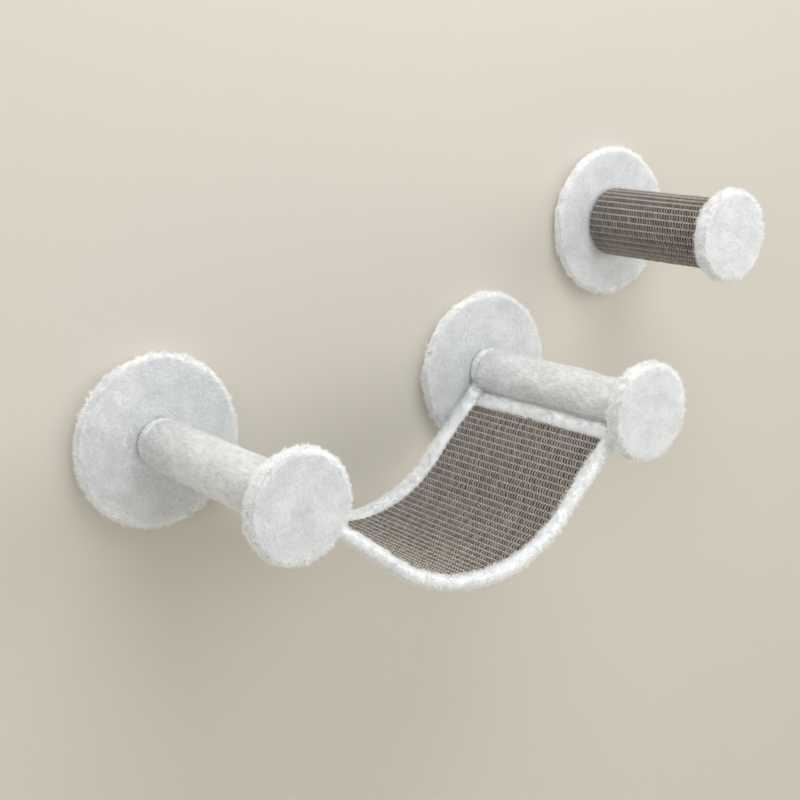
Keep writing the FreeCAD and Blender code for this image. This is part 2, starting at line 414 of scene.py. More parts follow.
def runTree(name, source, tree, inputs):
    # A copy of the source mesh goes through the tree, and the result comes back as a plain mesh
    piece = bpy.data.objects.new(name, source.data.copy())
    scene.collection.objects.link(piece)
    modifier = piece.modifiers.new("nodes", "NODES")
    modifier.node_group = tree
    for socket in tree.interface.items_tree:
        if socket.in_out == "INPUT" and socket.name in inputs:
            modifier[socket.identifier] = inputs[socket.name]
    state = bpy.context.evaluated_depsgraph_get()
    mesh = bpy.data.meshes.new_from_object(piece.evaluated_get(state),
                                           preserve_all_data_layers=True, depsgraph=state)
    piece.modifiers.clear()
    piece.data = mesh
    return piece


# The pile: closed three-sided tufts on a piece's skin

pileLook = {"tufts": {"Density": 700000.0, "Length": 4.3 * mm, "Width": 0.36 * mm,
                      "Clump Scale": 150.0, "Clump Lean": 0.7, "Uneven": 2.3, "Stray": 0.3},
            "seed": 7, "sizes": (0.7, 1.15), "smoothLength": 0.75,  # shares of the length
            "faceRough": 0.08, "sleeveRough": 0.3, "rollRough": 0.8}


def pileTree():
    graph, given = newTree("pile", pileLook["tufts"])
    rough = graph.named("rough")
    spread = graph.add("GeometryNodeDistributePointsOnFaces", {}, {
        "Mesh": given["Geometry"], "Density": given["Density"] * graph.named("nap"),
        "Seed": given["Seed"]})
    place = graph.node("GeometryNodeInputPosition")
    clumps = graph.node("ShaderNodeTexNoise", {}, {
        "Vector": place, "Scale": given["Clump Scale"], "Detail": 2.0}, "Color")
    lean = graph.vector("SUBTRACT", clumps, (0.5, 0.5, 0.5))
    direction = graph.vector("ADD", Wire(graph, spread.outputs["Normal"]),
                             graph.scaled(lean, given["Clump Lean"] * rough))
    stray = graph.random((-1, -1, -1), (1, 1, 1), given["Seed"])
    direction = graph.vector("ADD", direction, graph.scaled(stray, given["Stray"]))
    turn = graph.node("FunctionNodeAlignRotationToVector", {"axis": "Z"}, {"Vector": direction})
    swell = graph.node("ShaderNodeTexNoise", {}, {
        "Vector": place, "Scale": given["Clump Scale"], "Detail": 1.0})
    size = graph.random(*pileLook["sizes"], given["Seed"] + 1)
    size = size * ((swell - 0.5) * given["Uneven"] * rough + 1)
    size = size * (rough * (1 - pileLook["smoothLength"]) + pileLook["smoothLength"])
    tuft = graph.node("GeometryNodeMeshCone", {"fill_type": "NGON"}, {
        "Vertices": 3, "Side Segments": 1, "Radius Top": 0.0,
        "Radius Bottom": given["Width"], "Depth": given["Length"]})
    tufts = graph.node("GeometryNodeInstanceOnPoints", {}, {
        "Points": Wire(graph, spread.outputs["Points"]), "Instance": tuft,
        "Rotation": turn, "Scale": size})
    tone = graph.random(0.0, 1.0, given["Seed"] + 2)
    return endTree(graph, tufts, tone, given["Finish"], False)


pile = pileTree()


def growPile(name, skin, seed, finish="plush"):
    piece = runTree(name, skin, pile, {
        **pileLook["tufts"], "Seed": pileLook["seed"] + seed, "Finish": finishes[finish]})
    dress(piece, "plush")
    return piece


def setNap(piece, napAt, roughAt):  # how dense and how uneven the pile is at each point, 0 to 1
    for label, valueAt in (("nap", napAt), ("rough", roughAt)):
        layer = piece.data.attributes.new(label, "FLOAT", "POINT")
        layer.data.foreach_set("value", [valueAt(vertex.co) for vertex in piece.data.vertices])


def dress(piece, slotName, *nodes):
    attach(piece, "root")
    if nodes:
        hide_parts(*nodes)


# The round supports: where they stand, how thick and how long they are

supports = {
    "left": {"axis": mounts["wall_left"], "sleeve": "sleeve_left", "tube": "post_tube_left"},
    "right": {"axis": mounts["wall_right"], "sleeve": "sleeve_right", "tube": "post_tube_right"},
    "step": {"axis": mounts["wall_step"], "sleeve": "sisal_wrap", "tube": "post_tube_step"},
}
wallRadius = -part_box("wall_covers")[0].x
wallFront = -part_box("wall_covers")[0].y
boardRadius = -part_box("wall_boards")[0].x
boardFront = -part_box("wall_boards")[0].y
endRadius = -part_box("end_covers")[0].x
endThickness = -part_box("end_covers")[0].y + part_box("sleeve_left")[0].y
endBoardRadius = -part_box("end_boards")[0].x
for support in supports.values():
    low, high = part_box(support["sleeve"])
    support["radius"] = (high.x - low.x) / 2
    support["end"] = -low.y
    low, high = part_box(support["tube"])
    support["tubeRadius"] = (high.x - low.x) / 2

rimLook = {"steps": 6, "rough": 0.8, "rag": 6.5 * mm, "ragHeight": 1.8 * mm,
           "fineRag": 3.6 * mm, "fineRagHeight": 1.0 * mm}


def rimShare(radius, skinRadius, bend):  # 0 on a disc's face, 1 at its rim
    return min(1, max(0, (radius - skinRadius + bend) / bend))


def coverPush(spot, look, share):
    # How far a cover's skin stands out: waves and ripples, and the uneven tufts along the rim
    waves = lumps(spot, look["wave"], look["waveHeight"])
    ripples = lumps(spot, look["ripple"], look["rippleHeight"])
    rags = lumps(spot, rimLook["rag"], rimLook["ragHeight"])
    rags += lumps(spot, rimLook["fineRag"], rimLook["fineRagHeight"])
    return max(waves + ripples + share * rags, -look["deepest"])


# The same roughness also paints the plush lighter on the rims than on the faces, as painted light
def coverRough(axis, skinRadius, bend):  # the rim's pile is long and uneven, the face's is smooth
    def roughAt(point):
        onRim = fromAxis(point, axis) > skinRadius - bend * rimLook["rough"]
        return 1.0 if onRim else pileLook["faceRough"]
    return roughAt


wallLook = {"inset": 1.0 * mm, "frontInset": 0.6 * mm, "rimRound": 5.0 * mm, "faceRings": 15,
            "bulge": 0.2 * mm, "underRim": ((-0.3 * mm, 5 * mm), (-1.2 * mm, 3 * mm)),
            "turnIn": (0.5 * mm, 1.2 * mm), "steps": 320, "wave": 22 * mm, "waveHeight": 0.9 * mm,
            "ripple": 8 * mm, "rippleHeight": 0.3 * mm, "deepest": 0.4 * mm, "apart": 3.1,
            "bare": 5 * mm, "underPost": 2 * mm, "seam": 0.3 * mm}

# The hem's line: how far inside the board's edge, and how far out of the board's back
hemLook = {"width": 24 * mm, "proud": 2.2 * mm, "deeper": 0.2 * mm, "seat": 0.05 * mm,
           "line": ((1 * mm, 1.32 * mm), (4 * mm, 2.2 * mm), (10 * mm, 2.2 * mm),
                    (17 * mm, 2.2 * mm), (23 * mm, 1.98 * mm), (24 * mm, 0.1 * mm)),
           "rag": 2.5 * mm, "ragTurns": 5, "ragWidth": 2 * mm,
           "pleats": 22, "pleatDrift": 3, "pleatDepth": 0.35 * mm}


def wallOutline(skinRadius, bend):
    skinFront = wallFront - wallLook["frontInset"]
    outline = faceOutline(skinFront, skinRadius - bend, wallLook["faceRings"])
    outline += arcPoints((skinRadius - bend, skinFront - bend), bend, 90, 0, rimLook["steps"])
    outline.append((skinRadius + wallLook["bulge"], skinFront / 2))
    outline += [(skinRadius + out, depth) for out, depth in wallLook["underRim"]]
    out, depth = wallLook["turnIn"]
    outline.append((boardRadius + out, depth))
    outline += [(boardRadius - inwards, -proud) for inwards, proud in hemLook["line"]]
    return outline + [(boardRadius, -hemLook["seat"]), (boardRadius, boardFront), (0, boardFront)]


def hemPoint(point, radius, angle, seed):  # the hem lies in pleats, and its raw edge is ragged
    drift = hemLook["pleatDrift"] * noise.noise(Vector((cos(angle), sin(angle), seed)))
    pleat = sin(angle * hemLook["pleats"] + drift)
    turns = hemLook["ragTurns"]
    ragged = hemLook["rag"] * noise.noise(Vector((turns * cos(angle), turns * sin(angle), seed)))
    atEdge = radius < boardRadius - hemLook["width"] + hemLook["ragWidth"]
    flat = outOf(point) * (ragged if atEdge else 0)
    return point + flat + Vector((0, hemLook["pleatDepth"] * (pleat - 1), 0))


def wallCover(name, support, seed):
    axis = support["axis"]
    skinRadius = wallRadius - wallLook["inset"]
    bend = wallLook["rimRound"]
    seam = wallLook["seam"]
    postRadius = support["radius"] - wallLook["underPost"]

    def shape(point, radius, depth, angle):
        if depth < -hemLook["deeper"]:
            return hemPoint(point, radius, angle, seed)
        if radius <= boardRadius and depth <= boardFront:
            return point
        share = rimShare(radius, skinRadius, bend)
        push = coverPush(point + Vector((seed * wallLook["apart"], 0, 0)), wallLook, share)
        return point + (outOf(point) * share + Vector((0, share - 1, 0))).normalized() * push

    def napAt(point):
        across = fromAxis(point, axis)
        outer = -point.y > boardFront + seam or across > boardRadius + seam
        return 1.0 if outer and across > postRadius and point.y < -wallLook["bare"] else 0.0

    piece = turned("wall_cover_" + name, wallOutline(skinRadius, bend), wallLook["steps"], axis,
                   "plush", shape)
    setNap(piece, napAt, coverRough(axis, skinRadius, bend))
    dress(piece, "plush", "wall_covers")
    pileOn = growPile("wall_pile_" + name, piece, seed)
    cut = 2 * (boardRadius + boardFront + hemLook["width"])
    pi * cut * cut / 4


stapleLook = {"count": 20, "crown": 10 * mm, "wire": 0.55 * mm, "inset": 13 * mm,
              "drift": 0.06, "lean": 0.5}
barFaces = ((0, 1, 3, 2), (4, 6, 7, 5), (0, 4, 5, 1), (2, 3, 7, 6), (0, 2, 6, 4), (1, 5, 7, 3))


def staples(name, support, seed):
    # The staples that hold the turned hem on the back of a wall board
    points = []
    faces = []
    wire = stapleLook["wire"]
    for index in range(stapleLook["count"]):
        angle = 2 * pi * index / stapleLook["count"]
        angle += stapleLook["drift"] * noise.noise(Vector((index, seed, 0)))
        lean = stapleLook["lean"] * noise.noise(Vector((index * 1.7, seed, 4)))
        flat = Vector((cos(angle), 0, sin(angle)))
        along = (Vector((-sin(angle), 0, cos(angle))) + flat * lean).normalized()
        across = along.cross(Vector((0, 1, 0)))
        centre = support["axis"] + flat * (boardRadius - stapleLook["inset"])
        centre = centre + Vector((0, hemLook["proud"] - wire, 0))
        first = len(points)
        for end in (-0.5, 0.5):
            for side in (-1, 1):
                for rise in (-1, 1):
                    points.append(centre + along * stapleLook["crown"] * end
                                  + across * wire * side + Vector((0, wire * rise, 0)))
        for corners in barFaces:
            faces.append(tuple(first + corner for corner in corners))
    piece = closeAndFace(addPiece("staples_" + name, points, faces, "steel"), False)
    dress(piece, "steel")


endLook = {"inset": 1.0 * mm, "frontInset": 0.8 * mm, "backInset": 0.6 * mm, "cloth": 3 * mm,
           "fit": 0.1 * mm, "rimRound": 5.0 * mm, "faceRings": 9, "collar": 8 * mm,
           "tubeGap": 0.6 * mm, "steps": 230, "wave": 18 * mm, "waveHeight": 0.8 * mm,
           "ripple": 7 * mm, "rippleHeight": 0.3 * mm, "deepest": 0.3 * mm, "apart": 2.7,
           "backPush": 0.4, "underPost": 3 * mm, "seam": 0.3 * mm}


def endCover(name, support, seed):
    axis = support["axis"]
    back = support["end"] + endLook["backInset"]
    front = support["end"] + endThickness - endLook["frontInset"]
    skinRadius = endRadius - endLook["inset"]
    bend = endLook["rimRound"]
    fit = endLook["fit"]
    mouth = support["tubeRadius"] + endLook["tubeGap"]
    inner = endBoardRadius + fit
    inside = support["end"] + endLook["cloth"] - fit
    boardEnd = support["end"] + endThickness - endLook["cloth"] + fit
    seam = fit + endLook["seam"]
    outline = faceOutline(front, skinRadius - bend, endLook["faceRings"])
    outline += arcPoints((skinRadius - bend, front - bend), bend, 90, 0, rimLook["steps"])
    outline += arcPoints((skinRadius - bend, back + bend), bend, 0, -90, rimLook["steps"])
    outline += [(support["radius"] + endLook["collar"], back), (mouth, back)]
    outline += [(mouth, inside), (inner, inside), (inner, boardEnd), (0, boardEnd)]

    def shape(point, radius, depth, angle):
        if inside - fit <= depth <= boardEnd + fit and radius <= inner:
            return point
        share = rimShare(radius, skinRadius, bend)
        push = coverPush(point + Vector((seed * endLook["apart"], 0, 0)), endLook, share)
        side = -1 if depth > (front + back) / 2 else endLook["backPush"]
        return point + (outOf(point) * share + Vector((0, side * (1 - share), 0))) * push

    def napAt(point):
        across = fromAxis(point, axis)
        depth = -point.y
        within = across < inner + seam and inside - seam <= depth <= boardEnd + seam
        underPost = across < support["radius"] - endLook["underPost"] and depth < inside
        return 0.0 if within or underPost else 1.0

    piece = turned("end_cover_" + name, outline, endLook["steps"], axis, "plush", shape)
    setNap(piece, napAt, coverRough(axis, skinRadius, bend))
    dress(piece, "plush", "end_covers")
    pileOn = growPile("end_pile_" + name, piece, seed)


sleeveLook = {"inset": 1.4 * mm, "overlap": 0.5 * mm, "lining": 0.2 * mm,
              "thinnest": 0.5 * mm, "rows": 96, "steps": 84,
              "hem": 11 * mm, "groove": 5.0 * mm, "grooveWidth": 2.2 * mm, "collar": 0.9 * mm,
              "stitched": 1.1, "tucked": 0.7, "seam": 1 * mm,
              "wrinkle": 1.5 * mm, "foldLength": 34 * mm, "foldScale": 1.3, "fineFold": 0.6,
              "leastEase": 0.2, "easeIn": 25 * mm, "easeOut": 20 * mm,
              "slack": {"left": 1.5 * mm, "right": 8 * mm}, "pull": {"left": -40, "right": 220},
              "slackAtWall": 1.15, "slackLoss": 0.75}


def fromHem(depth):  # distance from the sleeve's stitched groove, in widths of the groove
    return (depth - wallFront - sleeveLook["hem"]) / sleeveLook["grooveWidth"]


def sleeve(name, support, seed):
    start = wallFront - sleeveLook["overlap"]
    end = support["end"]
    axis = support["axis"]
    base = support["radius"] - sleeveLook["inset"]
    tube = support["tubeRadius"]
    outline = []
    for index in range(sleeveLook["rows"] + 1):
        depth = start + (end - start) * index / sleeveLook["rows"]
        groove = sleeveLook["groove"] / (1 + fromHem(depth) ** 2)
        collar = sleeveLook["collar"] if fromHem(depth) < 0 else 0
        outline.append((base + collar - groove, depth))
    lining = tube + sleeveLook["lining"]
    outline += [(lining, end), (lining, start), outline[0]]

    def shape(point, radius, depth, angle):
        if radius < tube + sleeveLook["thinnest"]:
            return point
        drift = depth / sleeveLook["foldLength"] + seed * 5
        around = Vector((cos(angle), sin(angle), drift)) * sleeveLook["foldScale"]
        fold = noise.noise(around) + sleeveLook["fineFold"] * noise.noise(around * 2)
        ease = min(1.0, (depth - start) / sleeveLook["easeIn"], (end - depth) / sleeveLook["easeOut"])
        push = sleeveLook["wrinkle"] * fold * max(sleeveLook["leastEase"], ease)
        pulled = max(0, cos(angle - radians(sleeveLook["pull"][name]))) ** 2
        lost = sleeveLook["slackLoss"] * (depth - start) / (end - start)
        slack = sleeveLook["slack"][name] * (sleeveLook["slackAtWall"] - lost)
        return point + outOf(point) * (push + slack * pulled * max(0, ease))

    def napAt(point):
        if fromAxis(point, axis) < tube + sleeveLook["seam"]:
            return 0.0
        fromWall = (-point.y - wallFront) / sleeveLook["grooveWidth"]
        stitched = sleeveLook["stitched"] / (1 + fromHem(-point.y) ** 2)
        return max(0.0, 1 - stitched - sleeveLook["tucked"] / (1 + fromWall ** 2))

    piece = turned("sleeve_" + name + "_cloth", outline, sleeveLook["steps"], axis,
                   "sleeve plush", shape)
    setNap(piece, napAt, lambda point: pileLook["sleeveRough"])
    dress(piece, "plush", "sleeve_" + name)
    pileOn = growPile("sleeve_pile_" + name, piece, seed, "sleeve plush")
    2 * pi * base
    end - start


for number, (name, support) in enumerate(supports.items()):
    wallCover(name, support, number + 1)
    staples(name, support, number + 1)
    endCover(name, support, number + 11)
    if name != "step":
        sleeve(name, support, number + 21)
print("covers and sleeves made")


# The hanging line of the hammock: two arcs on each side, hollow in the middle, crown at the post

hang = {"sag": 151 * mm, "lowShift": 16 * mm, "seamAngle": 34.0, "steepest": 1.45, "seamSlope": 1.15,
        "leftRoll": 20 * mm, "rightRoll": 28 * mm, "rightSkew": 3 * mm,
        "rib": 9.2 * mm, "ribDepth": 1.2 * mm}
spacing = mounts["wall_right"].x
sleeveRadius = supports["left"]["radius"]


def sideArcs(side):
    lowX = spacing / 2 + hang["lowShift"]
    postX = 0 if side < 0 else spacing
    seamX = postX - side * sleeveRadius * cos(radians(hang["seamAngle"]))
    seamZ = -sleeveRadius * sin(radians(hang["seamAngle"]))
    span = abs(seamX - lowX)
    rise = seamZ + hang["sag"]
    chord = atan2(rise, span)
    steep = hang["steepest"] * chord
    slope = hang["seamSlope"] * chord
    acrossLow, upLow = sin(steep), 1 - cos(steep)
    acrossHigh, upHigh = sin(steep) - sin(slope), cos(slope) - cos(steep)
    scale = acrossLow * upHigh - acrossHigh * upLow
    hollow = (span * upHigh - rise * acrossHigh) / scale
    crown = (acrossLow * rise - upLow * span) / scale
    hollowZ = hollow - hang["sag"]
    crownX = lowX + side * (hollow + crown) * sin(steep)
    crownZ = hollowZ - (hollow + crown) * cos(steep)
    return [(crownX, crownZ, crown, pi / 2 + side * slope, pi / 2 + side * steep, -1),
            (lowX, hollowZ, hollow, -pi / 2 + side * steep, -pi / 2, 1)]


leftArcs = sideArcs(-1)
rightArcs = [(x, z, radius, last, first, growth)
             for x, z, radius, first, last, growth in reversed(sideArcs(1))]
arcs = leftArcs + rightArcs
arcLengths = [arc[2] * abs(arc[4] - arc[3]) for arc in arcs]
hangLength = sum(arcLengths)


def hangAt(length):
    # The point (x, z), the direction along it and the direction up from it, at a length from the left
    before = 0.0
    for arc, own in zip(arcs, arcLengths):
        if length <= before + own or arc is arcs[-1]:
            break
        before += own
    x, z, radius, first, last, growth = arc
    angle = first + (last - first) * (length - before) / own
    way = 1 if last > first else -1
    along = Vector((-sin(angle) * way, 0, cos(angle) * way))
    up = Vector((-cos(angle) * growth, 0, -sin(angle) * growth))
    return Vector((x + radius * cos(angle), 0, z + radius * sin(angle))), along, up


def overHang(length, depth, height):  # the same, at a depth and at a height over the line
    point, along, up = hangAt(length)
    return point + up * height + Vector((0, -depth, 0)), along, up


rollLook = {"height": 15.5 * mm, "inset": 1.4 * mm, "power": 2.3, "around": 30, "step": 3.5 * mm,
            "rise": {"front_roll": 2.5 * mm, "rear_roll": 5.5 * mm, "side": 2.5 * mm},
            "widest": {"front_roll": 1.1, "rear_roll": 1.3}, "lead": 16 * mm,
            "frontWidth": 20 * mm, "rearWidth": 28 * mm, "overMat": 1 * mm, "underMat": 3 * mm,
            "joint": 4 * mm, "lump": 26 * mm, "lumpHeight": 1.1 * mm,
            "tuft": 8 * mm, "tuftHeight": 1.1 * mm,
            "puff": 0.3, "puffReach": 13 * mm, "puffFrom": 4 * mm, "underSleeve": 3 * mm,
            "longFill": 0.7, "sideFill": 0.6}
matRear = -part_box("rear_roll")[1].y + rollLook["rearWidth"] - rollLook["overMat"]
matFront = -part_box("front_roll")[0].y - rollLook["frontWidth"] + rollLook["overMat"]


def rounded(value, share):  # a sine or cosine bent for a fuller corner than a circle has
    return abs(value) ** share * (1 if value >= 0 else -1)


def rollRing(centre, acrossWay, upWay, width, height, seed):
    ring = []
    share = 2 / rollLook["power"]
    for index in range(rollLook["around"]):
        angle = 2 * pi * index / rollLook["around"]
        out = acrossWay * (width / 2 * rounded(cos(angle), share))
        out = out + upWay * (height / 2 * rounded(sin(angle), share))
        spot = centre + out + Vector((0, 0, seed))
        push = lumps(spot, rollLook["lump"], rollLook["lumpHeight"])
        push += lumps(spot, rollLook["tuft"], rollLook["tuftHeight"])
        ring.append(centre + out + out.normalized() * push)
    return ring


def puffAt(length):  # the plush bunches up where a roll is sewn to a sleeve
    reach = rollLook["puffReach"]
    left = (length - rollLook["puffFrom"]) / reach
    right = (hangLength - rollLook["puffFrom"] - length) / reach
    return 1 + rollLook["puff"] * (1 / (1 + left ** 4) + 1 / (1 + right ** 4))


def finishRoll(name, rows, napAt, seed):
    piece = swept(name + "_pad", rows, "plush")
    setNap(piece, napAt, lambda point: pileLook["rollRough"])
    dress(piece, "plush", name)
    growPile(name + "_pile", piece, seed)


def longRoll(name, middle, width, seed):
    rise = rollLook["rise"][name] - rollLook["height"] / 2
    width = width - 2 * rollLook["inset"]
    height = rollLook["height"] - 2 * rollLook["inset"]
    reach = hangLength + 2 * rollLook["lead"]
    count = ceil(reach / rollLook["step"])
    rows = []
    for index in range(count + 1):
        length = reach * index / count - rollLook["lead"]
        centre, along, up = overHang(length, middle, rise)
        puff = puffAt(length)
        wide = width * min(puff, rollLook["widest"][name])
        rows.append(rollRing(centre, Vector((0, -1, 0)), up, wide, height * puff, seed))
    posts = [supports["left"]["axis"], supports["right"]["axis"]]

    def napAt(point):
        deep = sleeveRadius - rollLook["underSleeve"]
        return 0.0 if any(fromAxis(point, axis) < deep for axis in posts) else 1.0

    finishRoll(name, rows, napAt, seed)


def sideRoll(name, length, width, skew, seed):
    rise = rollLook["rise"]["side"] - rollLook["height"] / 2
    width = width + 2 * rollLook["underMat"] - 2 * rollLook["inset"]
    height = rollLook["height"] - 2 * rollLook["inset"]
    rear = matRear - rollLook["joint"]
    front = matFront + rollLook["joint"]
    count = ceil((front - rear) / rollLook["step"])
    rows = []
    for index in range(count + 1):
        share = index / count
        skewed = length + skew * (2 * share - 1)
        centre, along, up = overHang(skewed, rear + (front - rear) * share, rise)
        rows.append(rollRing(centre, along, up, width, height, seed))
    finishRoll(name, rows, lambda point: 1.0, seed)


frontMiddle = matFront - rollLook["overMat"] + rollLook["frontWidth"] / 2
rearMiddle = matRear + rollLook["overMat"] - rollLook["rearWidth"] / 2
leftMiddle = hang["leftRoll"] / 2 - rollLook["underMat"]
rightMiddle = hangLength - hang["rightRoll"] / 2 + rollLook["underMat"]
longRoll("front_roll", frontMiddle, rollLook["frontWidth"], 31)
longRoll("rear_roll", rearMiddle, rollLook["rearWidth"], 32)
sideRoll("left_roll", leftMiddle, hang["leftRoll"], 0, 33)
sideRoll("right_roll", rightMiddle, hang["rightRoll"], hang["rightSkew"], 34)
print("rolls made")


# The woven sisal: one strand and one bead for each cell of the weave

weaveLook = {"pitch": 4.6 * mm, "slant": 0.52, "slantShake": 0.1, "shift": 0.12,
             "strandLonger": 1.02, "strandRise": 3.0 * mm, "strandDrop": 0.6 * mm,
             "strandWidth": {"mat": 1.2 * mm, "wrap": 1.0 * mm},
             "beadLength": 1.55 * mm, "beadWidth": 1.05 * mm, "beadHeight": 0.95 * mm,
             "beadDrop": 0.4 * mm, "least": (0.93, 0.82, 0.8), "most": (1.05, 1.1, 1.2)}


def strandShape(graph, given):  # a round strand that bows up between its ends
    bow = graph.node("GeometryNodeCurveQuadraticBezier", {}, {
        "Resolution": 4,
        "Start": graph.xyz(X=given["Length"] * -0.5),
        "Middle": graph.xyz(Z=given["Height"]),
        "End": graph.xyz(X=given["Length"] * 0.5)})
    profile = graph.node("GeometryNodeCurvePrimitiveCircle", {"mode": "RADIUS"}, {
        "Resolution": 5, "Radius": given["Width"]})
    return graph.node("GeometryNodeCurveToMesh", {}, {
        "Curve": bow, "Profile Curve": profile, "Fill Caps": True})


def beadShape(graph, given):  # where a warp thread shows between two rows
    ball = graph.node("GeometryNodeMeshUVSphere", {}, {"Segments": 6, "Rings": 4, "Radius": 1.0})
    size = graph.xyz(X=given["Width"], Y=given["Length"], Z=given["Height"])
    return graph.node("GeometryNodeTransform", {}, {"Geometry": ball, "Scale": size})


def weaveTree(name, makeShape):
    graph, given = newTree(name, ("Length", "Width", "Height", "Slant"))
    shake = graph.random(-weaveLook["slantShake"], weaveLook["slantShake"], given["Seed"] + 3)
    leaned = graph.vector("ADD", graph.named("along", "FLOAT_VECTOR"),
                          graph.xyz(Y=given["Slant"] + shake))
    turn = graph.node("FunctionNodeAxesToRotation", {"primary_axis": "Z", "secondary_axis": "X"}, {
        "Primary Axis": graph.named("up", "FLOAT_VECTOR"), "Secondary Axis": leaned})
    size = graph.random(weaveLook["least"], weaveLook["most"], given["Seed"] + 1)
    laid = graph.node("GeometryNodeInstanceOnPoints", {}, {
        "Points": given["Geometry"], "Instance": makeShape(graph, given),
        "Rotation": turn, "Scale": size})
    tone = graph.random(0.0, 1.0, given["Seed"] + 2)
    return endTree(graph, laid, tone, given["Finish"], True)


strandTree = weaveTree("weft strands", strandShape)
beadTree = weaveTree("warp beads", beadShape)


def weave(name, cells, tree, seed, inputs):
    # Cells are (place, direction along the strand, direction up)
    source = addPiece(name + "_cells", [cell[0] for cell in cells], [], "weft")
    for label, index in (("along", 1), ("up", 2)):
        layer = source.data.attributes.new(label, "FLOAT_VECTOR", "POINT")
        layer.data.foreach_set("vector", [value for cell in cells for value in cell[index]])
    piece = runTree(name, source, tree, {"Seed": seed, "Slant": weaveLook["slant"], **inputs})
    bpy.data.objects.remove(source)
    dress(piece, "sisal")
    return piece


def woven(name, cellsOf, seed):  # the strands and the beads of the mat or of the wrap
    weft = {"Length": hang["rib"] * weaveLook["strandLonger"], "Finish": finishes["weft"],
            "Width": weaveLook["strandWidth"][name], "Height": weaveLook["strandRise"]}
    warp = {"Length": weaveLook["beadLength"], "Width": weaveLook["beadWidth"],
            "Height": weaveLook["beadHeight"], "Finish": finishes["warp"]}
    return [weave(name + "_weft", cellsOf(True), strandTree, seed, weft),
            weave(name + "_warp", cellsOf(False), beadTree, seed + 1, warp)]


def drop(strand):  # how far the strands or the beads lie under the surface
    return hang["ribDepth"] + weaveLook["strandDrop"] if strand else weaveLook["beadDrop"]


def columnShare(column, columns, row):  # the columns stand a little unevenly
    shift = weaveLook["shift"] * noise.noise(row + Vector((0, column * 0.9, 0)))
    return (column + 0.5 + shift) / columns


def matCells(strand):
    first = hang["leftRoll"]
    length = hangLength - first - hang["rightRoll"]
    rows = round(length / hang["rib"])
    columns = round((matFront - matRear) / weaveLook["pitch"])
    cells = []
    for row in range(rows if strand else rows + 1):
        far = (row + (0.5 if strand else 0)) / rows
        for column in range(columns):
            share = columnShare(column, columns, Vector((row * 1.7, 0, 0)))
            depth = matRear + (matFront - matRear) * share
            skewed = length + hang["rightSkew"] * (2 * share - 1)  # the right roll isn't square
            cells.append(overHang(first + skewed * far, depth, -drop(strand)))
    return cells


wrapLook = {"ground": 2.6 * mm, "thickness": 2.5 * mm, "steps": 96, "bare": 1 * mm}


def wrapCells(strand):
    support = supports["step"]
    start = wallFront + wrapLook["bare"]
    end = support["end"] - wrapLook["bare"]
    rows = round(2 * pi * support["radius"] / hang["rib"])
    columns = round((end - start) / weaveLook["pitch"])
    radius = support["radius"] - drop(strand)
    cells = []
    for row in range(rows):
        angle = 2 * pi * (row + (0.5 if strand else 0)) / rows
        up = Vector((cos(angle), 0, sin(angle)))
        along = Vector((sin(angle), 0, -cos(angle)))
        for column in range(columns):
            share = columnShare(column, columns, Vector((row * 1.3, 0, 5)))
            depth = start + (end - start) * share
            cells.append((support["axis"] + up * radius + Vector((0, -depth, 0)), along, up))
    return cells


matLook = {"thickness": 6 * mm, "ground": 1.4 * mm, "backing": 4 * mm, "apart": 0.3 * mm,
           "ripple": 30 * mm, "rippleHeight": 0.8 * mm, "underRoll": 3 * mm, "underLongRoll": 2 * mm,
           "rows": 220, "columns": 24}


def slab(name, low, high, finish, ripple):
    # A layer of the hammock between two heights, closed all round
    first = hang["leftRoll"] - matLook["underRoll"]
    last = hangLength - hang["rightRoll"] + matLook["underRoll"]
    rear = matRear - matLook["underLongRoll"]
    front = matFront + matLook["underLongRoll"]
    columns = matLook["columns"]
    rows = []
    for index in range(matLook["rows"] + 1):
        length = first + (last - first) * index / matLook["rows"]
        ring = []
        for height, order in ((high, range(columns + 1)), (low, range(columns, -1, -1))):
            for column in order:
                depth = rear + (front - rear) * column / columns
                push = lumps(Vector((length, depth, height)), matLook["ripple"], ripple)
                ring.append(overHang(length, depth, height + push)[0])
        rows.append(ring)
    return swept(name, rows, finish)


def hammockLayers():
    size = (matFront - matRear, hangLength - hang["leftRoll"] - hang["rightRoll"])
    thickness = matLook["thickness"]
    # The mat body shows between the strands in its near-black painted shade
    mat = slab("mat_body", -thickness, -hang["ribDepth"] - matLook["ground"], "ground", 0)
    dress(mat, "sisal", "sisal_mat")
    woven("mat", matCells, 41)
    backing = slab("backing_cloth", -thickness - matLook["backing"], -thickness - matLook["apart"],
                   "cloth", matLook["rippleHeight"])
    dress(backing, "backing_cloth", "mat_backing")


hammockLayers()
print("mat made")


def stepWrap():
    support = supports["step"]
    outer = support["radius"] - wrapLook["ground"]
    inner = outer - wrapLook["thickness"]
    start = wallFront
    end = support["end"]
    outline = [(outer, start), (outer, (start + end) / 2), (outer, end),
               (inner, end), (inner, start), (outer, start)]
    # The wrap body shows between the strands in its near-black painted shade
    wrap = turned("wrap_body", outline, wrapLook["steps"], support["axis"], "ground",
                  lambda point, radius, depth, angle: point)
    dress(wrap, "sisal", "sisal_wrap")
    2 * pi * support["radius"]
    end - start
    woven("wrap", wrapCells, 51)


stepWrap()
print("wrap made")


# The pieces that keep their own shape

nodeFinish = {"wall_boards": "board", "end_boards": "board", "tube_plugs": "wood",
              "post_tube_left": "card", "post_tube_right": "card", "post_tube_step": "card",
              "post_bolts_left": "steel", "post_bolts_right": "steel", "post_bolts_step": "steel"}
for node, finish in nodeFinish.items():
    mesh = frame["nodes"][node].data
    mesh.materials.clear()
    mesh.materials.append(finishes[finish])


# Wall, floor, lamps and camera

roomLook = {"wall": colour(201, 196, 186), "floor": colour(226, 222, 214),
            "floorDrop": 1.6, "reach": 6.0, "gap": 4.5 * mm}


